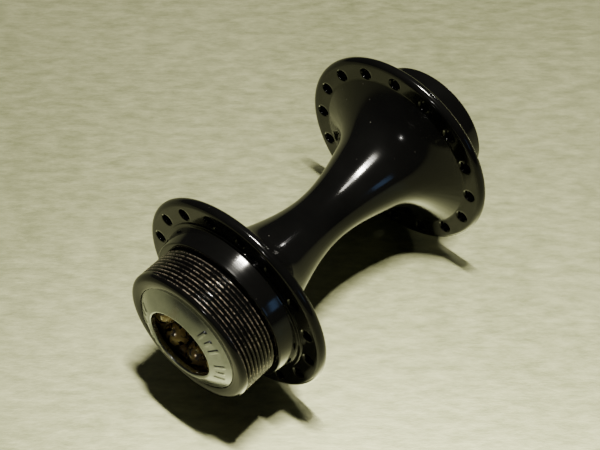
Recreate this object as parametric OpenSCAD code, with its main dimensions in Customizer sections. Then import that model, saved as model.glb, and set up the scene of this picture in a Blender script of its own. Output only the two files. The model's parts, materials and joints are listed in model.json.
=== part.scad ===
// Threaded rear hub with two cup-and-cone bearings, shown without its axle.
//
// +Y runs along the hub's axis from the threaded drive end to the plain end, and +Z is up as the
// hub lies on its two flanges. The origin is on the axis, midway between the two boss end faces.

/* [Shell] */
// Length of the shell from boss end face to boss end face
shell_len = 87.2; // [84:0.2:96]
// Radius of the barrel at its waist
waist_r = 6.8; // [6.6:0.1:9]
// Radius of the bore that the axle runs through
bore_r = 5.4; // [5.2:0.1:5.6]
// How fast the middle of the barrel opens out from the waist
waist_flare = 0.44; // [0.3:0.02:0.5]

/* [Flanges] */
// Outer radius of both spoke flanges
flange_r = 26.4; // [25:0.1:30]
// Thickness of a flange at its rim
flange_t = 2.6; // [2:0.1:3.4]
// Outboard face of the drive flange, measured along the axis from the origin
drive_flange_y = -28.14; // [-29:0.02:-27]
// Outboard face of the plain flange, measured along the axis from the origin
plain_flange_y = 32.4; // [31:0.1:33]
// Radius of the edge where the barrel's flare meets the flat of a flange
flare_r = 20.9; // [19:0.1:21]

/* [Spoke holes] */
// Number of spoke holes in each flange
spoke_holes = 16; // [14:2:18]
// Diameter of the circle that the spoke holes lie on
spoke_pcd = 45.7; // [45:0.1:46.5]
// Radius of a spoke hole
spoke_hole_r = 1.3; // [1.2:0.05:1.4]
// Depth of the countersink at each mouth of a spoke hole
countersink = 0.35; // [0.1:0.05:0.4]
// Angle of one drive-flange hole, from +X towards +Z
drive_phase = 14.6; // [0:0.1:22.5]

/* [Freewheel thread] */
// Radius of the thread's crests
thread_r = 17.46; // [17.4:0.01:17.5]
// Thread pitch, 24 to the inch
thread_pitch = 1.058; // [1.05:0.001:1.06]
// Number of thread grooves
thread_turns = 8; // [6:1:8]
// Largest radius of the collar that a freewheel seats against
collar_r = 19.8; // [19.2:0.1:20]
// How much smaller the collar is at its outboard edge
collar_taper = 0.9; // [0:0.1:1.2]
// Width of the collar
collar_w = 4.65; // [4.4:0.05:5]
// Radius of the low step between the collar and the drive flange
step_r = 20.77; // [20.2:0.01:21]
// Height of that step above the flange
step_h = 0.44; // [0.2:0.02:0.5]

/* [Plain end] */
// Radius of the plain boss
plain_boss_r = 16; // [15.4:0.1:17]
// Radius of the rounded outer edge of the plain boss
plain_boss_round = 0.8; // [0.4:0.1:1.6]
// Fillet between the plain flange and its boss
boss_fillet = 1.8; // [1:0.1:2.4]

/* [Bearings] */
// Diameter of a bearing ball, a quarter of an inch
ball_d = 6.35; // [6.2:0.05:6.4]
// Number of balls on each side
ball_count = 9; // [7:1:9]
// Radius of the circle that the ball centres run on
ball_pitch_r = 9.9; // [9.8:0.05:10]
// Depth of the ball centres below the boss end face
ball_depth = 3.7; // [3.6:0.1:4]
// Gap between a ball and the race around it
race_gap = 0.075; // [0.05:0.005:0.1]
// Radius of the pocket that the cup and the dust cap press into
seat_r = 14.05; // [14:0.05:14.2]
// Radius of the hole in the floor of a cup
cup_hole_r = 8.4; // [7.5:0.1:8.6]
// Angle of the drive side's first ball, from +X towards +Z
drive_ball_phase = 30; // [0:1:40]
// Angle of the plain side's first ball, from +X towards +Z
plain_ball_phase = 12; // [0:1:40]

/* [Dust caps] */
// Radius of the hole in a dust cap
cap_hole_r = 8.85; // [8.5:0.05:9]
// How far a dust cap stands out from the boss end face
cap_rise = 2.1; // [1.8:0.1:2.4]
// Thickness of a dust cap's sheet
cap_t = 0.7; // [0.5:0.05:0.8]

/* [Hidden] */
$fn = 96;
DRIVE = -1;               // the end at negative Y
PLAIN = 1;                // the end at positive Y
eps = 0.01;               // overshoot of a cut past the face that it opens
end_y = shell_len / 2;    // distance of each boss end face from the origin
plain_phase = drive_phase + 180 / spoke_holes;   // each flange's holes sit midway between the other's
ball_r = ball_d / 2;

// Shell
lead_round = 1.4;         // rounded outer edge where the thread begins
drive_inner_y = drive_flange_y + flange_t;
plain_inner_y = plain_flange_y - flange_t;
waist_y = (drive_inner_y + plain_inner_y) / 2;
barrel_half = (plain_inner_y - drive_inner_y) / 2;
flare_start = 0.58 * barrel_half;   // distance from the waist at which the steep flare begins
barrel_steps = 40;
collar_y = drive_flange_y - step_h - collar_w;   // the collar's outboard face
collar_chamfer = 0.4;
thread_root_r = thread_r - 0.6134 * thread_pitch;
pocket_depth = 8.3;       // depth of the pocket that the cup sits in
cavity_r = 9.2;           // clearance behind the cup
cavity_depth = 11;
throat_depth = 15;        // where the clearance has narrowed to the bore

// Cup
race_r = ball_r + race_gap;
cup_rim_depth = 1.9;
cup_wall_r = ball_pitch_r + race_r;   // inner radius of the cup's wall

// Dust cap
cap_skirt_t = 0.75;
cap_lip_r = 0.55;         // radius of the rolled edge around the hole
cap_lip_len = 0.9;        // length of the rolled edge's straight wall
cap_edge_depth = 0.15;    // the cap's outer edge sits this far below the boss end face

// Grease ring
grease_in_r = 10.6;
grease_out_r = 12.85;
grease_top = 0.75;        // depth of the grease's outboard face
grease_ball_gap = 0.02;   // film between the grease and each ball

// Turns a half-section, drawn as radius against place along the axis, about the hub's axis.
module about_axis() {
    rotate([-90, 0, 0]) rotate_extrude() children();
}

// The same for a half-section drawn as radius against depth below one end's boss face.
module at_end(side) {
    rotate([0, 0, side == PLAIN ? 180 : 0]) translate([0, -end_y, 0]) about_axis() children();
}

// Removes the outer corner of a boss end, leaving a quarter-round edge of radius c.
module corner_cut(c) {
    difference() {
        translate([0, -2 * c]) square([2 * c, 2 * c]);
        circle(r = c);
    }
}

// Barrel radius at a distance d from the waist.
function barrel_radius(d) =
    sqrt(waist_r * waist_r + pow(waist_flare * d, 2)) + flare_extra(d);

// Extra radius of the steep flare that runs out into the flange.
function flare_extra(d) =
    d < flare_start ? 0
    : (flare_r - sqrt(waist_r * waist_r + pow(waist_flare * barrel_half, 2)))
      * pow((d - flare_start) / (barrel_half - flare_start), 3);

// Half-section of the barrel between the flanges' inboard faces.
module barrel_section() {
    polygon(concat(
        [[0, drive_inner_y - eps]],
        [[flare_r, drive_inner_y - eps]],
        [for (i = [0:barrel_steps])
            let (d = barrel_half * (2 * i / barrel_steps - 1))
            [barrel_radius(abs(d)), waist_y + d]],
        [[flare_r, plain_inner_y + eps]],
        [[0, plain_inner_y + eps]]));
}

// Half-section of one flange, from its lower to its higher face, with a fully rounded rim.
module flange_section(y0) {
    rim_r = flange_t / 2;
    translate([0, y0]) square([flange_r - rim_r, flange_t]);
    translate([flange_r - rim_r, y0 + rim_r]) circle(r = rim_r);
}

// One groove of the freewheel thread, centred on y.
module thread_groove(y) {
    polygon([
        [thread_root_r, y - thread_pitch / 16],
        [thread_root_r, y + thread_pitch / 16],
        [thread_r + eps, y + 7 * thread_pitch / 16],
        [thread_r + eps, y - 7 * thread_pitch / 16]]);
}

// Half-section of the threaded boss, its collar and the step against the drive flange.
module drive_boss_section() {
    difference() {
        translate([0, -end_y]) square([thread_r, collar_y + end_y]);
        translate([thread_r - lead_round, -end_y + lead_round]) corner_cut(lead_round);
        for (i = [1:thread_turns])
            thread_groove(collar_y - (i - 0.5) * thread_pitch);
    }
    polygon([
        [0, collar_y - eps],
        [thread_r, collar_y - eps],
        [thread_r, collar_y],
        [collar_r - collar_taper - collar_chamfer, collar_y],
        [collar_r - collar_taper, collar_y + collar_chamfer],
        [collar_r, drive_flange_y - step_h],
        [step_r, drive_flange_y - step_h],
        [step_r, drive_flange_y + eps],
        [0, drive_flange_y + eps]]);
}

// Half-section of the plain boss, with a fillet against the plain flange.
module plain_boss_section() {
    difference() {
        translate([0, plain_flange_y - eps]) square([plain_boss_r, end_y - plain_flange_y + eps]);
        translate([plain_boss_r - plain_boss_round, end_y - plain_boss_round])
            mirror([0, 1]) corner_cut(plain_boss_round);
    }
    difference() {
        translate([plain_boss_r - eps, plain_flange_y - eps])
            square([boss_fillet + eps, boss_fillet + eps]);
        translate([plain_boss_r + boss_fillet, plain_flange_y + boss_fillet]) circle(r = boss_fillet);
    }
}

// Everything bored out of one end, as radius against depth.
module pocket_section() {
    translate([0, -1]) square([seat_r, pocket_depth + 1]);
    polygon([
        [0, pocket_depth - eps],
        [cavity_r, pocket_depth - eps],
        [cavity_r, cavity_depth],
        [bore_r, throat_depth],
        [0, throat_depth]]);
}

// Cutter for one spoke hole along +Z, countersunk at both mouths of the flange.
module spoke_hole_cutter() {
    mouth_r = spoke_hole_r + countersink;
    rotate_extrude()
        polygon([
            [0, -eps],
            [mouth_r + eps, -eps],
            [spoke_hole_r, countersink],
            [spoke_hole_r, flange_t - countersink],
            [mouth_r + eps, flange_t + eps],
            [0, flange_t + eps]]);
}

// Ring of spoke-hole cutters through the flange whose lower face is at y0.
module spoke_hole_ring(y0, phase) {
    for (i = [0:spoke_holes - 1])
        let (t = phase + i * 360 / spoke_holes)
            translate([spoke_pcd / 2 * cos(t), y0, spoke_pcd / 2 * sin(t)])
                rotate([-90, 0, 0]) spoke_hole_cutter();
}

module hub_shell() {
    color([0.06, 0.06, 0.07])
        difference() {
            about_axis() {
                barrel_section();
                flange_section(drive_flange_y);
                flange_section(plain_inner_y);
                drive_boss_section();
                plain_boss_section();
            }
            translate([0, -shell_len, 0]) rotate([-90, 0, 0]) cylinder(r = bore_r, h = 2 * shell_len);
            at_end(DRIVE) pocket_section();
            at_end(PLAIN) pocket_section();
            spoke_hole_ring(drive_flange_y, drive_phase);
            spoke_hole_ring(plain_inner_y, plain_phase);
        }
}

// Pressed steel cup: a wall, a race that follows the balls, and a floor with a hole.
module bearing_cup(side) {
    color([0.55, 0.55, 0.54])
        at_end(side)
            difference() {
                translate([cup_hole_r, cup_rim_depth])
                    square([seat_r - cup_hole_r, pocket_depth - cup_rim_depth]);
                translate([ball_pitch_r, ball_depth]) circle(r = race_r);
                translate([0, cup_rim_depth - 1])
                    square([cup_wall_r, ball_depth - cup_rim_depth + 1]);
                square([ball_pitch_r, ball_depth + race_r]);
            }
}

// Pressed dust cap: a skirt in the pocket, a shallow cone and a rolled edge around the hole.
module dust_cap(side) {
    lip_mid_r = cap_hole_r + cap_lip_r;
    lip_mid = cap_lip_r - cap_rise;   // depth of the rolled edge's centre
    color([0.83, 0.83, 0.80])
        union() {
            at_end(side)
                polygon([
                    [seat_r, cup_rim_depth],
                    [seat_r, cap_edge_depth],
                    [lip_mid_r, -cap_rise],
                    [lip_mid_r, cap_t - cap_rise],
                    [seat_r - cap_skirt_t, cap_t + cap_edge_depth],
                    [seat_r - cap_skirt_t, cup_rim_depth]]);
            at_end(side) translate([lip_mid_r, lip_mid]) circle(r = cap_lip_r);
            at_end(side) translate([cap_hole_r, lip_mid]) square([cap_lip_r, cap_lip_len]);
        }
}

// Centre of ball k on one side.
function ball_centre(side, k) =
    let (t = (side == DRIVE ? drive_ball_phase : plain_ball_phase) + (k - 1) * 360 / ball_count)
    [ball_pitch_r * cos(t), side * (end_y - ball_depth), ball_pitch_r * sin(t)];

module bearing_ball(side, k) {
    color([0.72, 0.66, 0.52])
        translate(ball_centre(side, k)) sphere(r = ball_r);
}

// Grease packed over the outboard shoulders of the balls, which holds them together as one ring.
module grease_ring(side) {
    color([0.60, 0.46, 0.18])
        at_end(side)
            difference() {
                translate([grease_in_r, grease_top])
                    square([grease_out_r - grease_in_r, ball_depth - grease_top]);
                translate([ball_pitch_r, ball_depth]) circle(r = ball_r + grease_ball_gap);
            }
}

hub_shell();
bearing_cup(DRIVE);  // drive_cup
bearing_cup(PLAIN);  // plain_cup
dust_cap(DRIVE);  // drive_dust_cap
dust_cap(PLAIN);  // plain_dust_cap
grease_ring(DRIVE);  // drive_grease_ring
grease_ring(PLAIN);  // plain_grease_ring
for (k = [1:ball_count]) {
    bearing_ball(DRIVE, k);
    bearing_ball(PLAIN, k);
}
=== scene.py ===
import json
import math

import bmesh
import bpy
from mathutils import Matrix, Vector, noise


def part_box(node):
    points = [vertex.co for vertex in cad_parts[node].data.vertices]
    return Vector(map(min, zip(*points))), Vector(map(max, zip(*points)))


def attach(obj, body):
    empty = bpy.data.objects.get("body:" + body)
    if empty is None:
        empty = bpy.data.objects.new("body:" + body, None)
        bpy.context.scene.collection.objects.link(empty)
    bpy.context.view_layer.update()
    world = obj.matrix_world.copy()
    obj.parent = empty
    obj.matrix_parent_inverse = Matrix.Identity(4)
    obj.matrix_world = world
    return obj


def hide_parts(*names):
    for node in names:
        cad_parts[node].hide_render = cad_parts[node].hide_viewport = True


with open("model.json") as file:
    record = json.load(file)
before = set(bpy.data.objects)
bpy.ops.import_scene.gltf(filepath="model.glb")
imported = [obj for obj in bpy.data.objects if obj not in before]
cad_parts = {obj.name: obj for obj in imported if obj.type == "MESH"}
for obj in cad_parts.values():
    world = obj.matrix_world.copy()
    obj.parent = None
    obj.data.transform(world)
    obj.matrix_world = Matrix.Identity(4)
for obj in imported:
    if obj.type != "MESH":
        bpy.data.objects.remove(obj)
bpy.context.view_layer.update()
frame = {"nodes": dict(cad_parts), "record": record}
record = frame["record"]
mounts = {m["name"]: m for m in record["mounts"]}

MM = 0.001


def box_mm(node):
    """A CAD node's lowest and highest corners, in millimetres."""
    lo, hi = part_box(node)
    return lo / MM, hi / MM


# ---------------------------------------------------------------- places from the CAD, in mm
_, shell_hi = box_mm("hub_shell")
cap_lo, cap_hi = box_mm("drive_dust_cap")
cup_lo, cup_hi = box_mm("drive_cup")

END = shell_hi.y                                  # boss end faces at -END and END
FLANGE_R = shell_hi.z
SEAT_R = cap_hi.x
FLANGE_T = 2.6                                    # thickness of each flange
THREAD_R = mounts["freewheel_thread"]["dims"]["r_mm"]
COLLAR_Y = mounts["freewheel_shoulder"]["pos_m"][1] / MM
PCD = mounts["drive_spoke_holes"]["dims"]["pcd_mm"]
HOLES = mounts["drive_spoke_holes"]["dims"]["count"]
HOLE_R = mounts["drive_spoke_holes"]["dims"]["hole_r_mm"]
DRIVE_MID = mounts["drive_spoke_holes"]["pos_m"][1] / MM     # middle of each flange
PLAIN_MID = mounts["plain_spoke_holes"]["pos_m"][1] / MM
BORE_R = mounts["axle_bore"]["dims"]["r_mm"]
CAP_HOLE_R = mounts["drive_cap_hole"]["dims"]["r_mm"]
BALLS = sum(n.startswith("drive_ball_") for n in frame["nodes"])

DRIVE_OUT, DRIVE_IN = DRIVE_MID - FLANGE_T / 2, DRIVE_MID + FLANGE_T / 2
PLAIN_IN, PLAIN_OUT = PLAIN_MID - FLANGE_T / 2, PLAIN_MID + FLANGE_T / 2
PHASE = 14.6                                      # degrees from +X towards +Z of one drive hole
SINK = 0.44                                       # flat kept round each hole, outside its radius
FLARE_R = 20.9                                    # where the barrel's flare meets a flange
STEP_R, STEP_H = 20.77, 0.44                      # low step between the collar and the flange
COLLAR_R, COLLAR_TAPER = 19.8, 0.9
COLLAR_EDGE = 0.4                                 # rounding of the collar's outboard edge
PLAIN_BOSS_R = 16.0
PLAIN_ROUND = 0.8                                 # rounded outer edge of the plain boss
LEAD_ROUND = 1.4                                  # rounded outer edge where the thread begins
FILLET = 1.8                                      # between the plain boss and its flange
PITCH = 1.058                                     # of the freewheel thread
WAIST_R, WAIST_FLARE = 6.8, 0.44
FLARE_START = 0.58                                # share of the half barrel before it flares out
BARREL_ROWS = 150
SEAT_DEPTH = 8.2                                  # depths from a boss end face: the cup's seat,
CLEAR_R, CLEAR_DEPTH = 9.2, 11.0                  # the wider space behind the cup,
BORE_DEPTH = 15.0                                 # and the start of the bore
BALL_R, BALL_DEPTH = 6.35 / 2, 3.7
RACE_GAP = 0.075                                  # between each ball and its race
LIP_R = 0.55                                      # rolled edge of a cap's hole
RIM = FLANGE_T / 2                                # the flange rims are fully rounded

# ---------------------------------------------------------------- mesh building


COLUMNS = 24 * HOLES
ANGLES = [math.radians(PHASE - 180 / HOLES + j * 360 / COLUMNS) for j in range(COLUMNS)]


def at(r, y, t):
    """The point at radius r, place y along the axis and angle t from +X towards +Z."""
    return (r * math.cos(t), y, r * math.sin(t))


class Skin:
    """Vertices and faces of one piece, in millimetres, with one number kept on each vertex."""

    def __init__(self):
        self.points, self.faces, self.worn = [], [], []

    def add(self, point, worn=0.0):
        self.points.append(point)
        self.worn.append(worn)
        return len(self.points) - 1

    def ring(self, r, y, angles=ANGLES):
        return [self.add(at(r, y, t)) for t in angles]

    def band(self, a, b):
        """Quads between two closed rings of the same length."""
        n = len(a)
        for i in range(n):
            j = (i + 1) % n
            self.faces.append((a[i], a[j], b[j], b[i]))

    def lathe(self, profile, start=None, end=None, angles=ANGLES):
        """Rings through the profile's (r, y) points, joined to the given rings at either end."""
        rings = ([start] if start else []) + [self.ring(r, y, angles) for r, y in profile]
        rings += [end] if end else []
        for a, b in zip(rings, rings[1:]):
            self.band(a, b)
        return rings[0], rings[-1]

    def build(self, name, sharp, weld=0.0015):
        """The mesh object: points within weld are joined, and edges over sharp degrees stay sharp."""
        mesh = bpy.data.meshes.new(name)
        mesh.from_pydata([(x * MM, y * MM, z * MM) for x, y, z in self.points], [], self.faces)
        layer = mesh.attributes.new("worn", "FLOAT", "POINT")
        layer.data.foreach_set("value", self.worn)
        bm = bmesh.new()
        bm.from_mesh(mesh)
        if weld:
            bmesh.ops.remove_doubles(bm, verts=bm.verts, dist=weld * MM)
            bmesh.ops.dissolve_degenerate(bm, edges=bm.edges, dist=0.0002 * MM)
        bmesh.ops.recalc_face_normals(bm, faces=bm.faces)
        limit = math.radians(sharp)
        for f in bm.faces:
            f.smooth = True
        for e in bm.edges:
            e.smooth = not (len(e.link_faces) == 2 and e.calc_face_angle(0) > limit)
        bm.to_mesh(mesh)
        bm.free()
        obj = bpy.data.objects.new(name, mesh)
        bpy.context.scene.collection.objects.link(obj)
        return obj


def arc(cx, cy, radius, a0, a1, steps):
    """Points of an arc as (r, y), with angles in degrees from +r towards +y."""
    pts = []
    for i in range(steps + 1):
        a = math.radians(a0 + (a1 - a0) * i / steps)
        pts.append((cx + radius * math.cos(a), cy + radius * math.sin(a)))
    return pts


# ---------------------------------------------------------------- hub shell


def barrel_radius(y, waist_y, half):
    """A hyperbola at the waist, which flares out to meet the flanges."""
    d = abs(y - waist_y)
    base = math.hypot(WAIST_R, WAIST_FLARE * d)
    start = FLARE_START * half
    if d <= start:
        return base
    rise = FLARE_R - math.hypot(WAIST_R, WAIST_FLARE * half)
    return base + rise * ((d - start) / (half - start)) ** 3


def nose_radius(y):
    """The drive boss before its thread is cut: a straight boss with a rounded end."""
    d = y - (-END + LEAD_ROUND)
    return THREAD_R if d >= 0 else THREAD_R - LEAD_ROUND + math.sqrt(max(0.0, LEAD_ROUND ** 2 - d * d))


START_T = math.radians(117)      # where round the boss the thread starts
START_Y = -42.0                  # the start of its first groove along the axis
DEPTH = 0.6134 * PITCH
RELIEF = 0.34                    # width of the groove between the thread and the collar
ROOT = 1 / 16                    # in pitches from a groove's middle: the end of its flat root,
SHOULDER = 7 / 16                # the top of its flank,
ROLLED = 0.36                    # and where the worn, rolled-over crest begins


def thread_point(t, y, u, turn):
    """Radius and wear at angle t and place y; u is the place across one pitch, 0 in a groove."""
    centre = y - u * PITCH
    # a groove reaches its depth over a short way where the thread starts
    cut = min(1.0, max(0.0, (centre - START_Y) / (0.05 * PITCH) + 0.5))
    a = abs(u)
    depth = 1.0 if a < ROOT else max(0.0, 1 - (a - ROOT) / (SHOULDER - ROOT))
    nick = noise.noise(Vector((math.cos(t) * 14, math.sin(t) * 14, turn * 3.7)))
    coarse = noise.noise(Vector((math.cos(t) * 3, math.sin(t) * 3, turn * 1.3)))
    crest = 0.02 + 0.09 * abs(nick) + 0.05 * abs(coarse)
    r = THREAD_R - DEPTH * depth * cut
    if a > ROLLED:
        r -= crest * cut * (1 if a > 0.4 else 0.5)
    worn = max(0.0, (a - ROLLED - 0.06 * abs(coarse)) / 0.11)
    # a crest is worn only where a groove beside it has begun
    beside = centre + PITCH if u > 0 else centre - PITCH
    live = min(1.0, max(0.0, (max(centre, beside) - START_Y) / (0.05 * PITCH)))
    if centre < START_Y - 0.2 * PITCH and u < 0:
        live = 0.0
    if u < 0 and centre - PITCH < START_Y:
        worn *= 1.0 if a < 0.49 else 0.4
    return min(r, nose_radius(y)), min(1.0, worn) * live


def add_thread(skin, y0, y1):
    """The helical freewheel thread between two places on the axis. Returns its first and last rings."""
    across = (-0.5, -0.46, -SHOULDER, -0.41, -0.31, -0.19, -ROOT,
              0.0, ROOT, 0.19, 0.31, 0.41, SHOULDER, 0.46)
    turns = range(-1, int((y1 - y0) / PITCH) + 3)
    first, last = skin.ring(nose_radius(y0), y0), skin.ring(THREAD_R - DEPTH, y1)
    columns = []
    for j in range(COLUMNS + 1):
        t = ANGLES[0] + j * 2 * math.pi / COLUMNS
        shift = -(t - START_T) / (2 * math.pi) * PITCH
        col = []
        for n in turns:
            for u in across:
                y = START_Y + (n + u) * PITCH + shift
                if y <= y0 + 0.004:
                    col.append(first[j % COLUMNS])
                elif y >= y1 - 0.004:
                    col.append(last[j % COLUMNS])
                else:
                    r, worn = thread_point(t, y, u, n - (t - START_T) / (2 * math.pi))
                    near = (y1 - y) / 0.16
                    if near < 1:
                        r = min(r, THREAD_R - DEPTH * (1 - near))
                        worn *= near
                    col.append(skin.add(at(r, y, t), worn))
        columns.append(col)
    for a, b in zip(columns, columns[1:]):
        for k in range(len(a) - 1):
            corners = list(dict.fromkeys((a[k], b[k], b[k + 1], a[k + 1])))
            if len(corners) > 2:
                skin.faces.append(tuple(corners))
    # the first and last columns are the same place one pitch apart, and are welded when built
    return first, last


def flange_face(skin, y, inner, outer, offset):
    """A flange's flat between two rings, with a ring of round holes. Returns each hole's edge."""
    side = 8
    r0, r1 = FLARE_R, FLANGE_R - RIM
    per = COLUMNS // HOLES
    rails = []
    for k in range(HOLES):
        t = ANGLES[(k * per + offset) % COLUMNS]
        rails.append([skin.add(at(r0 + (r1 - r0) * i / side, y, t)) for i in range(1, side)])
    edges = []
    for k in range(HOLES):
        c = k * per + offset
        loop = [inner[(c + i) % COLUMNS] for i in range(per + 1)]
        loop += rails[(k + 1) % HOLES]
        loop += [outer[(c + per - i) % COLUMNS] for i in range(per + 1)]
        loop += rails[k][::-1]
        t = ANGLES[(c + per // 2) % COLUMNS]
        mid = Vector(at(PCD / 2, y, t))
        dirs = [(Vector(skin.points[i]) - mid).normalized() for i in loop]
        reach = [(Vector(skin.points[i]) - mid).length for i in loop]
        last = loop
        for grow in (0.4, 0.12):
            near = [skin.add(tuple(mid + d * (HOLE_R + SINK + (m - HOLE_R - SINK) * grow)))
                    for d, m in zip(dirs, reach)]
            skin.band(last, near)
            last = near
        edges.append((mid, dirs, last))
    return edges


def hole_walls(skin, low, high):
    """Joins the hole edges of a flange's two faces with countersunk, rounded walls."""
    for (a, dirs, first), (b, _, last) in zip(low, high):
        steps = [(0.40, 0.0), (0.36, 0.02), (0.31, 0.06), (0.08, 0.29), (0.02, 0.36), (0.0, 0.45)]
        profile = [(HOLE_R + g, d) for g, d in steps] + [(HOLE_R, FLANGE_T / 2)]
        profile += [(HOLE_R + g, FLANGE_T - d) for g, d in reversed(steps)]
        way = (b - a).normalized()
        rings = [first]
        for r, d in profile:
            rings.append([skin.add(tuple(a + way * d + v * r)) for v in dirs])
        rings.append(last)
        for x, y in zip(rings, rings[1:]):
            skin.band(x, y)


def nose_profile(end):
    """The drive boss's end face and the part of its rounded nose before the thread's first ring."""
    nose = [(SEAT_R + 0.02, -END + 0.25), (SEAT_R + 0.05, -END + 0.08), (SEAT_R + 0.2, -END)]
    rounding = arc(THREAD_R - LEAD_ROUND, -END + LEAD_ROUND, LEAD_ROUND, -90, 0, 24)
    return nose + [p for p in rounding if p[1] < end - 0.02]


def collar_profile():
    """From the thread's relief groove over the tapered collar and the step to the drive flange."""
    edge = COLLAR_R - COLLAR_TAPER
    collar = [(THREAD_R - DEPTH, COLLAR_Y - 0.08), (THREAD_R - DEPTH + 0.08, COLLAR_Y)]
    collar += [(edge - COLLAR_EDGE - i * 0.35, COLLAR_Y) for i in (2, 1)]
    collar += arc(edge - COLLAR_EDGE, COLLAR_Y + COLLAR_EDGE, COLLAR_EDGE, -90, -8, 8)
    top = DRIVE_OUT - STEP_H
    for i in range(1, 19):
        f = i / 18
        y = COLLAR_Y + COLLAR_EDGE + (top - 0.12 - COLLAR_Y - COLLAR_EDGE) * f
        collar.append((edge + COLLAR_TAPER * (f + 0.18 * f * (1 - f)), y))
    collar += [(COLLAR_R + 0.02, top - 0.05), (COLLAR_R + 0.1, top - 0.01)]
    collar += [(STEP_R - 0.24, top)] + arc(STEP_R - 0.14, top + 0.14, 0.14, -75, 0, 4)
    return collar + [(STEP_R, DRIVE_OUT - 0.06), (STEP_R + 0.03, DRIVE_OUT - 0.015)]


def barrel_profile(waist, half):
    """The barrel between the two flanges, with its rows closer together near them."""
    barrel = []
    for i in range(1, BARREL_ROWS):
        y = DRIVE_IN + 2 * half * (0.5 - 0.5 * math.cos(math.pi * i / BARREL_ROWS))
        barrel.append((barrel_radius(y, waist, half), y))
    return barrel


def plain_boss_profile():
    """From the plain flange over the fillet and along the smooth boss to its end face."""
    boss = [(19.2, PLAIN_OUT)]
    boss += arc(PLAIN_BOSS_R + FILLET, PLAIN_OUT + FILLET, FILLET, -90, -180, 12)
    start, end = PLAIN_OUT + FILLET, END - PLAIN_ROUND
    boss += [(PLAIN_BOSS_R, start + (end - start) * i / 6) for i in range(1, 6)]
    boss += arc(PLAIN_BOSS_R - PLAIN_ROUND, end, PLAIN_ROUND, 0, 90, 14)
    return boss + [(SEAT_R + 0.1, END), (SEAT_R + 0.02, END - 0.15)]


def inside_profile():
    """Both pockets, the clearances behind the cups, and the bore, plain end first."""
    inside = [(SEAT_R, SEAT_DEPTH), (SEAT_R - 0.1, SEAT_DEPTH + 0.1)]
    inside += [(CLEAR_R + 0.15, SEAT_DEPTH + 0.1), (CLEAR_R, SEAT_DEPTH + 0.25)]
    inside += [(CLEAR_R, CLEAR_DEPTH - 0.1), (CLEAR_R - 0.08, CLEAR_DEPTH)]
    fall = BORE_R - inside[-1][0]
    inside += [(BORE_R - fall * (1 - i / 4), CLEAR_DEPTH + (BORE_DEPTH - CLEAR_DEPTH) * i / 4)
               for i in range(1, 5)]
    inside += [(BORE_R, BORE_DEPTH + (END - BORE_DEPTH) * i / 6) for i in range(1, 7)]
    return [(r, END - d) for r, d in inside] + [(r, -END + d) for r, d in reversed(inside[:-1])]


def make_shell():
    """The whole hub shell as one closed skin, from the drive end to the plain end and back inside."""
    skin = Skin()
    waist, half = (DRIVE_IN + PLAIN_IN) / 2, (PLAIN_IN - DRIVE_IN) / 2
    per = COLUMNS // HOLES
    r_rim = FLANGE_R - RIM

    # drive end: end face, rounded nose, thread, relief, collar and step
    y0 = -END + 0.42
    first, last = add_thread(skin, y0, COLLAR_Y - RELIEF)
    front, _ = skin.lathe(nose_profile(y0), end=first)
    _, foot = skin.lathe(collar_profile(), start=last)

    # drive flange
    inner = skin.ring(FLARE_R, DRIVE_OUT)
    skin.band(foot, inner)
    outer = skin.ring(r_rim, DRIVE_OUT)
    low = flange_face(skin, DRIVE_OUT, inner, outer, 0)
    rim = arc(r_rim, DRIVE_MID, RIM, -84, 84, 28)
    back = skin.ring(r_rim, DRIVE_IN)
    skin.lathe(rim, start=outer, end=back)
    crease = skin.ring(FLARE_R, DRIVE_IN)
    high = flange_face(skin, DRIVE_IN, crease, back, 0)
    hole_walls(skin, low, high)

    # barrel
    crease2 = skin.ring(FLARE_R, PLAIN_IN)
    skin.lathe(barrel_profile(waist, half), start=crease, end=crease2)

    # plain flange
    back2 = skin.ring(r_rim, PLAIN_IN)
    low = flange_face(skin, PLAIN_IN, crease2, back2, per // 2)
    rim = arc(r_rim, PLAIN_MID, RIM, -84, 84, 28)
    outer2 = skin.ring(r_rim, PLAIN_OUT)
    skin.lathe(rim, start=back2, end=outer2)
    inner2 = skin.ring(FLARE_R, PLAIN_OUT)
    high = flange_face(skin, PLAIN_OUT, inner2, outer2, per // 2)
    hole_walls(skin, low, high)

    # plain boss, and the inside back to the drive end
    skin.lathe(plain_boss_profile() + inside_profile(), start=inner2, end=front)

    add_burr(skin)
    return skin.build("shell_finish", sharp=38)


BURR_LONG, BURR_WIDE, BURR_HIGH = 0.5, 0.26, 0.34     # half length, half width and height


def add_burr(skin):
    """Raises the metal where the thread's first crest begins."""
    y_b = START_Y - 0.32 * PITCH
    for i, (x, y, z) in enumerate(skin.points):
        if not START_Y - 1.2 < y < START_Y + 0.8:
            continue
        r = math.hypot(x, z)
        if r < SEAT_R:
            continue
        t = math.atan2(z, x)
        s = (t - START_T - 0.012) * r
        d2 = (s / BURR_LONG) ** 2 + ((y - y_b - 0.12 * s) / BURR_WIDE) ** 2
        if d2 < 1:
            lift = BURR_HIGH * (1 - d2) ** 1.2
            skin.points[i] = at(r + lift, y, t)
            skin.worn[i] = max(skin.worn[i], min(1.0, 1.6 * (1 - d2)))


# ---------------------------------------------------------------- bearings and caps


def circle_angles(count):
    return [2 * math.pi * i / count for i in range(count)]


DASH_GROUPS = (math.radians(20), math.radians(200))     # the middle of each group of six
DASH_STEP = math.radians(11.5)
DASH_R, DASH_WIDTH, DASH_HEIGHT = 11.65, 0.34, 0.20
LONG_DASH, SHORT_DASH = 1.0, 0.72                       # half lengths, along the radius


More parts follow.
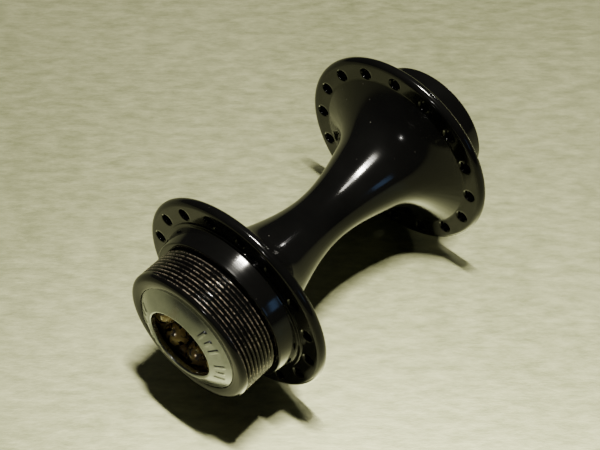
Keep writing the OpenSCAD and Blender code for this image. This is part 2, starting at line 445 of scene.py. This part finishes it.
def mark_height(t, r):
    """Two groups of short raised dashes pressed into the cap, in place of lettering."""
    h = 0.0
    for middle in DASH_GROUPS:
        for k in (-3, -2, -1, 1, 2, 3):
            c = middle + k * DASH_STEP
            d = (t - c + math.pi) % (2 * math.pi) - math.pi
            along = abs(r - DASH_R) / (LONG_DASH if k % 2 else SHORT_DASH)
            side = abs(d * r) / DASH_WIDTH
            if along < 1.25 and side < 1.6:
                f = min(1.0, max(0.0, (1.25 - along) / 0.25))
                f *= min(1.0, max(0.0, (1.6 - side) / 0.8))
                h = max(h, DASH_HEIGHT * f * f * (3 - 2 * f))
    return h


def make_cap(side, name):
    """A pressed cap: crowned cone, rolled edge at the hole, turned-in skirt, pressed dashes."""
    skin = Skin()
    angles = circle_angles(600)
    rise = -cap_lo.y - END
    skirt = -END - cap_hi.y

    def y_at(depth):
        return side * (END - depth)

    outer = [(SEAT_R - 0.02, -skirt), (SEAT_R - 0.02, 0.42)]
    outer += [(SEAT_R - 0.03, 0.33), (SEAT_R - 0.09, 0.24), (SEAT_R - 0.19, 0.17)]
    outer += [(SEAT_R - 0.32, 0.10)]
    rings = [skin.ring(r, y_at(d), angles) for r, d in outer]
    r0, d0 = outer[-1]
    r1, d1 = CAP_HOLE_R + LIP_R + 0.28, -rise + 0.07
    rows = 46
    for i in range(1, rows + 1):
        f = i / rows
        r = r0 + (r1 - r0) * f
        d = d0 + (d1 - d0) * f - 0.16 * math.sin(math.pi * f)
        rings.append([skin.add(at(r, y_at(d - mark_height(t, r)), t)) for t in angles])
    lip = arc(CAP_HOLE_R + LIP_R, 0, LIP_R, 60, 180, 14)
    for r, h in lip:
        rings.append(skin.ring(r, y_at(-rise + LIP_R - h), angles))
    back = [(CAP_HOLE_R, -rise + LIP_R + 0.9), (CAP_HOLE_R + 0.1, -rise + LIP_R + 0.98),
            (CAP_HOLE_R + 0.5, -rise + LIP_R + 0.9), (CAP_HOLE_R + 0.62, -rise + 0.75),
            (SEAT_R - 1.4, 0.55), (SEAT_R - 0.85, 0.95), (SEAT_R - 0.75, 1.2), (SEAT_R - 0.75, -skirt)]
    rings += [skin.ring(r, y_at(d), angles) for r, d in back]
    for a, b in zip(rings, rings[1:]):
        skin.band(a, b)
    skin.band(rings[-1], rings[0])
    return skin.build(name, sharp=50, weld=0)


def make_cup(side, name):
    """The pressed cup: rim, ground race under the balls, and a floor with a rounded hole."""
    skin = Skin()
    angles = circle_angles(288)
    race = BALL_R + RACE_GAP
    pitch_r = ball_places(side)[0][1]
    rim = -cup_lo.y - END
    deep = cup_hi.y + END
    wall_r = pitch_r + race
    low = BALL_DEPTH + race
    hole_r = 8.4
    pts = [(SEAT_R - 0.03, -rim), (SEAT_R - 0.03, deep - 0.8), (SEAT_R - 0.6, deep)]
    pts += [(hole_r + 0.4, deep), (hole_r + 0.1, deep - 0.1), (hole_r, deep - 0.35)]
    pts += [(hole_r, low + 0.3), (hole_r + 0.05, low + 0.1), (hole_r + 0.2, low + 0.01)]
    pts += arc(pitch_r, BALL_DEPTH, race, 90, 0, 22)
    pts += [(wall_r, -rim + 0.25), (wall_r + 0.08, -rim + 0.07), (wall_r + 0.25, -rim)]
    rings = [skin.ring(r, side * (END - d), angles) for r, d in pts]
    for a, b in zip(rings, rings[1:]):
        skin.band(a, b)
    skin.band(rings[-1], rings[0])
    return skin.build(name, sharp=50, weld=0)


def ball_places(side):
    """Centre, pitch radius and angle of each ball on one side, from the CAD."""
    out = []
    for k in range(1, BALLS + 1):
        lo, hi = box_mm(("drive" if side < 0 else "plain") + f"_ball_{k}")
        c = (lo + hi) / 2
        out.append((c, math.hypot(c.x, c.z), math.atan2(c.z, c.x)))
    return out


def make_ball(centre, radius, seed, name):
    """A steel ball with a thin, uneven film of grease on it."""
    skin = Skin()
    rings = []
    rows, cols = 44, 88
    for i in range(rows + 1):
        a = math.pi * i / rows
        ring = []
        for j in range(cols):
            b = 2 * math.pi * j / cols
            d = Vector((math.sin(a) * math.cos(b), math.sin(a) * math.sin(b), math.cos(a)))
            film = noise.noise(d * 3.1 + Vector((seed * 7.3, 0, 0)))
            fine = noise.noise(d * 9.0 + Vector((0, seed * 5.1, 0)))
            lift = 0.03 * max(0.0, film + 0.15) + 0.008 * fine
            p = centre + d * (radius - 0.012 + lift)
            if i in (0, rows):
                ring = [skin.add(tuple(p))] * cols
                break
            ring.append(skin.add(tuple(p), max(0.0, min(1.0, film * 1.6 + 0.55))))
        rings.append(ring)
    for a, b in zip(rings, rings[1:]):
        for j in range(cols):
            k = (j + 1) % cols
            corners = list(dict.fromkeys((a[j], a[k], b[k], b[j])))
            if len(corners) > 2:
                skin.faces.append(tuple(corners))
    return skin.build(name, sharp=80, weld=0)


def make_grease(side, name):
    """The grease round the balls: one closed ring, fuller between the balls than over them."""
    skin = Skin()
    places = ball_places(side)
    pitch_r = places[0][1]
    cols, rows = 540, 34
    rings = []
    for i in range(rows):
        a = 2 * math.pi * i / rows
        ring = []
        for j in range(cols):
            t = 2 * math.pi * j / cols
            gap = min(abs((t - p[2] + math.pi) % (2 * math.pi) - math.pi) for p in places)
            f = min(1.0, gap / (math.pi / BALLS))          # 0 over a ball, 1 midway between two
            web = max(0.0, (f - 0.45) / 0.55)
            lump = noise.noise(Vector((math.cos(t) * 6, math.sin(t) * 6, math.cos(a) * 1.2 + side)))
            fine = noise.noise(Vector((math.cos(t) * 22, math.sin(t) * 22, a * 1.4)))
            # the middle of the ring's section, then its half width and half depth
            cr, cd = 11.85 - 0.7 * web, 1.85 + 0.9 * web
            wr = 0.85 + 0.30 * web + 0.10 * lump + 0.02 * fine
            wd = 0.75 + 0.50 * web + 0.10 * lump + 0.02 * fine
            r = cr + wr * math.cos(a)
            d = cd + wd * math.sin(a)
            r = min(r, pitch_r + BALL_R - 0.05)
            ring.append(skin.add(at(r, side * (END - max(d, 0.7)), t), 0.5 + lump))
        rings.append(ring)
    for a, b in zip(rings, rings[1:] + rings[:1]):
        skin.band(a, b)
    return skin.build(name, sharp=80, weld=0)


# ---------------------------------------------------------------- materials


class Graph:
    """A node material built in code."""

    def __init__(self, name):
        self.mat = bpy.data.materials.new(name)
        self.mat.use_nodes = True
        self.tree = self.mat.node_tree
        self.tree.nodes.clear()
        out = self.add("ShaderNodeOutputMaterial")
        self.shader = self.add("ShaderNodeBsdfPrincipled")
        self.link(self.shader.outputs["BSDF"], out.inputs["Surface"])
        coord = self.add("ShaderNodeTexCoord")
        self.place = coord.outputs["Object"]

    def add(self, kind, **props):
        node = self.tree.nodes.new(kind)
        for key, value in props.items():
            setattr(node, key, value)
        return node

    def link(self, a, b):
        self.tree.links.new(a, b)

    def put(self, socket, value):
        if isinstance(value, bpy.types.NodeSocket):
            self.link(value, socket)
        else:
            socket.default_value = value

    def set(self, **values):
        for key, value in values.items():
            self.put(self.shader.inputs[key.replace("_", " ")], value)

    def maths(self, op, a, b=0.0, c=0.0, clamp=False):
        node = self.add("ShaderNodeMath", operation=op, use_clamp=clamp)
        for socket, value in zip(node.inputs, (a, b, c)):
            self.put(socket, value)
        return node.outputs[0]

    def noise(self, scale, detail=4.0, rough=0.5, vector=None, distort=0.0):
        node = self.add("ShaderNodeTexNoise")
        self.put(node.inputs["Vector"], vector or self.place)
        for key, value in (("Scale", scale), ("Detail", detail), ("Roughness", rough),
                           ("Distortion", distort)):
            node.inputs[key].default_value = value
        return node.outputs["Fac"]

    def spots(self, scale):
        node = self.add("ShaderNodeTexVoronoi")
        self.put(node.inputs["Vector"], self.place)
        node.inputs["Scale"].default_value = scale
        return node.outputs["Distance"]

    def ramp(self, value, *stops):
        """Stops are (place, number) or (place, (r, g, b))."""
        node = self.add("ShaderNodeValToRGB")
        while len(node.color_ramp.elements) < len(stops):
            node.color_ramp.elements.new(0.5)
        for element, (place, shade) in zip(node.color_ramp.elements, stops):
            element.position = place
            element.color = (*shade, 1) if isinstance(shade, tuple) else (shade, shade, shade, 1)
        self.link(value, node.inputs["Fac"])
        return node.outputs["Color"]

    def mix(self, fac, a, b):
        node = self.add("ShaderNodeMix", data_type="RGBA")
        self.put(node.inputs["Factor"], fac)
        for key, value in (("A", a), ("B", b)):
            socket = [s for s in node.inputs if s.name == key and s.type == "RGBA"][0]
            self.put(socket, (*value, 1) if isinstance(value, tuple) else value)
        return [s for s in node.outputs if s.type == "RGBA"][0]

    def blend(self, fac, a, b):
        """A plain number between a and b."""
        return self.maths("ADD", self.maths("MULTIPLY", fac, b - a), a)

    def bump(self, height, strength, distance, normal=None):
        node = self.add("ShaderNodeBump")
        node.inputs["Strength"].default_value = strength
        node.inputs["Distance"].default_value = distance
        self.link(height, node.inputs["Height"])
        if normal:
            self.link(normal, node.inputs["Normal"])
        return node.outputs["Normal"]

    def attribute(self, name):
        return self.add("ShaderNodeAttribute", attribute_name=name).outputs["Fac"]

    def turned(self, scale, detail=2.0):
        """Noise that runs in rings round the hub's axis, like a lathe tool's lines."""
        split = self.add("ShaderNodeSeparateXYZ")
        self.link(self.place, split.inputs[0])
        x, y, z = split.outputs
        radius = self.maths("SQRT", self.maths("ADD", self.maths("MULTIPLY", x, x),
                                               self.maths("MULTIPLY", z, z)))
        join = self.add("ShaderNodeCombineXYZ")
        self.link(y, join.inputs[0])
        self.link(radius, join.inputs[1])
        return self.noise(scale, detail, 0.6, join.outputs[0])


def shell_material():
    g = Graph("anodised_black")
    lines = g.turned(5200)
    broad = g.turned(900)
    smudge = g.noise(70, 5, 0.55)
    fine = g.noise(1900, 3)
    base = g.ramp(smudge, (0.3, (0.0020, 0.0020, 0.0020)), (0.7, (0.0040, 0.0040, 0.0038)))
    dust_at = g.ramp(g.spots(760), (0.0, 1.0), (0.11, 1.0), (0.16, 0.0))
    sparse = g.ramp(g.noise(420, 2), (0.64, 0.0), (0.70, 1.0))
    dust = g.maths("MULTIPLY", dust_at, sparse)
    worn = g.attribute("worn")
    patchy = g.ramp(g.noise(1500, 5, 0.75), (0.45, 0.0), (0.57, 1.0))
    wide = g.ramp(g.noise(210, 4, 0.6), (0.40, 0.10), (0.56, 1.0))
    bare = g.maths("MULTIPLY", g.maths("MULTIPLY", worn, patchy), wide, clamp=True)
    metal = g.ramp(g.noise(2400, 3), (0.3, (0.20, 0.14, 0.09)), (0.7, (0.66, 0.58, 0.46)))
    colour = g.mix(dust, base, (0.07, 0.068, 0.058))
    colour = g.mix(bare, colour, metal)
    g.set(Base_Color=colour, Metallic=bare, IOR=1.44)
    rough = g.maths("ADD", g.blend(smudge, 0.04, 0.12), g.maths("MULTIPLY", lines, 0.05))
    rough = g.maths("ADD", rough, g.maths("MULTIPLY", bare, 0.30))
    g.set(Roughness=rough)
    n = g.bump(lines, 0.06, 0.00003)
    n = g.bump(broad, 0.04, 0.0001, n)
    n = g.bump(fine, 0.02, 0.00003, n)
    g.set(Normal=n)
    return g.mat


def cap_material():
    g = Graph("polished_cap")
    lines = g.turned(7000)
    cloud = g.noise(240, 5, 0.6)
    stain = g.ramp(g.noise(150, 4, 0.6), (0.56, 0.0), (0.72, 1.0))
    metal = g.ramp(cloud, (0.3, (0.36, 0.38, 0.38)), (0.75, (0.48, 0.50, 0.49)))
    colour = g.mix(g.maths("MULTIPLY", stain, 0.45), metal, (0.30, 0.24, 0.17))
    g.set(Base_Color=colour, Metallic=1.0)
    g.set(Roughness=g.maths("ADD", g.blend(cloud, 0.14, 0.30), g.maths("MULTIPLY", stain, 0.15)))
    scratch = g.noise(900, 3, 0.6, distort=1.5)
    n = g.bump(lines, 0.05, 0.00003)
    g.set(Normal=g.bump(scratch, 0.03, 0.00006, n))
    return g.mat


def cup_material():
    g = Graph("ground_steel")
    lines = g.turned(6500)
    film = g.ramp(g.noise(330, 4, 0.55), (0.38, 0.0), (0.62, 1.0))
    colour = g.mix(film, (0.30, 0.29, 0.27), (0.11, 0.075, 0.045))
    g.set(Base_Color=colour, Metallic=g.blend(film, 1.0, 0.55))
    g.set(Roughness=g.blend(film, 0.24, 0.38))
    g.set(Normal=g.bump(lines, 0.12, 0.00004))
    return g.mat


def ball_material():
    g = Graph("greased_steel")
    film = g.maths("MULTIPLY", g.attribute("worn"), g.noise(420, 4, 0.6), clamp=True)
    spread = g.ramp(film, (0.12, 0.0), (0.4, 1.0))
    colour = g.mix(spread, (0.52, 0.46, 0.34), (0.44, 0.32, 0.13))
    g.set(Base_Color=colour, Metallic=g.blend(spread, 1.0, 0.35))
    g.set(Roughness=g.blend(spread, 0.12, 0.3))
    g.set(Coat_Weight=0.6, Coat_Roughness=0.08)
    g.set(Normal=g.bump(g.noise(1500, 3), 0.15, 0.00008))
    return g.mat


def grease_material():
    g = Graph("amber_grease")
    lump = g.noise(520, 5, 0.6)
    colour = g.ramp(lump, (0.3, (0.19, 0.15, 0.09)), (0.55, (0.28, 0.20, 0.09)),
                    (0.75, (0.44, 0.32, 0.12)))
    g.set(Base_Color=colour, IOR=1.47)
    g.set(Roughness=g.blend(lump, 0.14, 0.34))
    g.set(Subsurface_Weight=0.25, Subsurface_Scale=0.0008)
    g.set(Normal=g.bump(g.noise(900, 3), 0.2, 0.0001))
    return g.mat


def floor_material():
    g = Graph("pale_table")
    cloud = g.noise(9, 5, 0.6)
    along = g.add("ShaderNodeMapping", vector_type="TEXTURE")
    g.link(g.place, along.inputs["Vector"])
    along.inputs["Rotation"].default_value = (0, 0, math.radians(41))
    along.inputs["Scale"].default_value = (2.9, 1, 1)
    grain = g.noise(420, 5, 0.7, along.outputs[0])
    tone = g.maths("ADD", g.maths("MULTIPLY", cloud, 0.4), g.maths("MULTIPLY", grain, 0.6))
    colour = g.ramp(tone, (0.36, (0.46, 0.49, 0.26)), (0.62, (0.70, 0.72, 0.42)))
    g.set(Base_Color=colour, Metallic=0.85)
    g.set(Roughness=g.blend(grain, 0.37, 0.48))
    g.set(Normal=g.bump(grain, 0.10, 0.0004))
    return g.mat


# ---------------------------------------------------------------- putting it together


def settle(obj, mat, body, slot, *nodes):
    obj.data.materials.append(mat)
    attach(obj, body)
    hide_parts(*nodes)


mats = {"shell": shell_material(), "cap": cap_material(), "cup": cup_material(),
        "ball": ball_material(), "grease": grease_material()}

settle(make_shell(), mats["shell"], "shell", "anodised_shell", "hub_shell")
for side, end in ((-1, "drive"), (1, "plain")):
    cap = make_cap(side, f"{end}_cap_finish")
    settle(cap, mats["cap"], "shell", "polished_cap", f"{end}_dust_cap")
    cup = make_cup(side, f"{end}_cup_finish")
    settle(cup, mats["cup"], "shell", "cup_steel", f"{end}_cup")
    grease = make_grease(side, f"{end}_grease_finish")
    settle(grease, mats["grease"], f"{end}_ball_ring", "grease", f"{end}_grease_ring")
    for k, (centre, _, _) in enumerate(ball_places(side), 1):
        node = f"{end}_ball_{k}"
        ball = make_ball(centre, BALL_R, k + 20 * side, node + "_finish")
        settle(ball, mats["ball"], node, "ball_steel", node)

# ---------------------------------------------------------------- floor, lights and camera
floor_z = -FLANGE_R * MM
mesh = bpy.data.meshes.new("floor")
bm = bmesh.new()
bmesh.ops.create_grid(bm, x_segments=8, y_segments=8, size=2.5)
bm.to_mesh(mesh)
bm.free()
floor = bpy.data.objects.new("floor", mesh)
bpy.context.scene.collection.objects.link(floor)
floor.location.z = floor_z
floor.data.materials.append(floor_material())


def lamp(name, toward, distance, size, power, colour, size_y=None, wide=(1, 0, 0)):
    """An area light facing the hub from one direction, with its width along wide."""
    data = bpy.data.lights.new(name, "AREA")
    data.shape, data.size, data.energy, data.color = "DISK", size, power, colour
    if size_y:
        data.shape, data.size_y = "RECTANGLE", size_y
    obj = bpy.data.objects.new(name, data)
    d = Vector(toward).normalized()
    obj.location = d * distance
    obj.rotation_mode = "QUATERNION"
    x = (Vector(wide) - d * d.dot(Vector(wide))).normalized()
    obj.rotation_quaternion = Matrix((x, d.cross(x), d)).transposed().to_quaternion()
    bpy.context.scene.collection.objects.link(obj)


WARM = (1.0, 0.97, 0.85)
PALE = (1.0, 0.97, 0.9)
BLUE = (0.26, 0.52, 1.0)
lamp("key", (0.02, 0.045, 1), 0.80, 0.120, 9.5, WARM, 0.020)
lamp("side", (0.12, 0.045, 1), 0.80, 0.030, 4.2, WARM)
lamp("soft", (0.06, 0.19, 1), 0.80, 0.12, 1.2, (1.0, 0.96, 0.84))
lamp("small_far", (0.039, 0.895, 0.445), 1.1, 0.026, 0.5, PALE)
lamp("small_near", (0.113, -0.835, 0.539), 1.1, 0.026, 0.5, PALE)
lamp("window", (0.935, 0.025, 0.355), 1.4, 0.10, 0.17, BLUE, 0.30, (0, 1, 0))

world = bpy.data.worlds.new("room")
world.use_nodes = True
world.node_tree.nodes["Background"].inputs["Color"].default_value = (1.0, 0.98, 0.90, 1)
world.node_tree.nodes["Background"].inputs["Strength"].default_value = 0.022
bpy.context.scene.world = world

camera_data = bpy.data.cameras.new("camera")
camera_data.lens = 87.85                                  # millimetres, on a 36 mm sensor
camera_data.sensor_width = 36.0
camera_data.clip_start, camera_data.clip_end = 0.01, 20.0
camera = bpy.data.objects.new("camera", camera_data)
camera.location = (0.13904, -0.16349, 0.26995)
aim = Vector((-0.00248, -0.00228, -0.00037))
camera.rotation_mode = "QUATERNION"
camera.rotation_quaternion = (aim - Vector(camera.location)).to_track_quat("-Z", "Y")
bpy.context.scene.collection.objects.link(camera)
bpy.context.scene.camera = camera
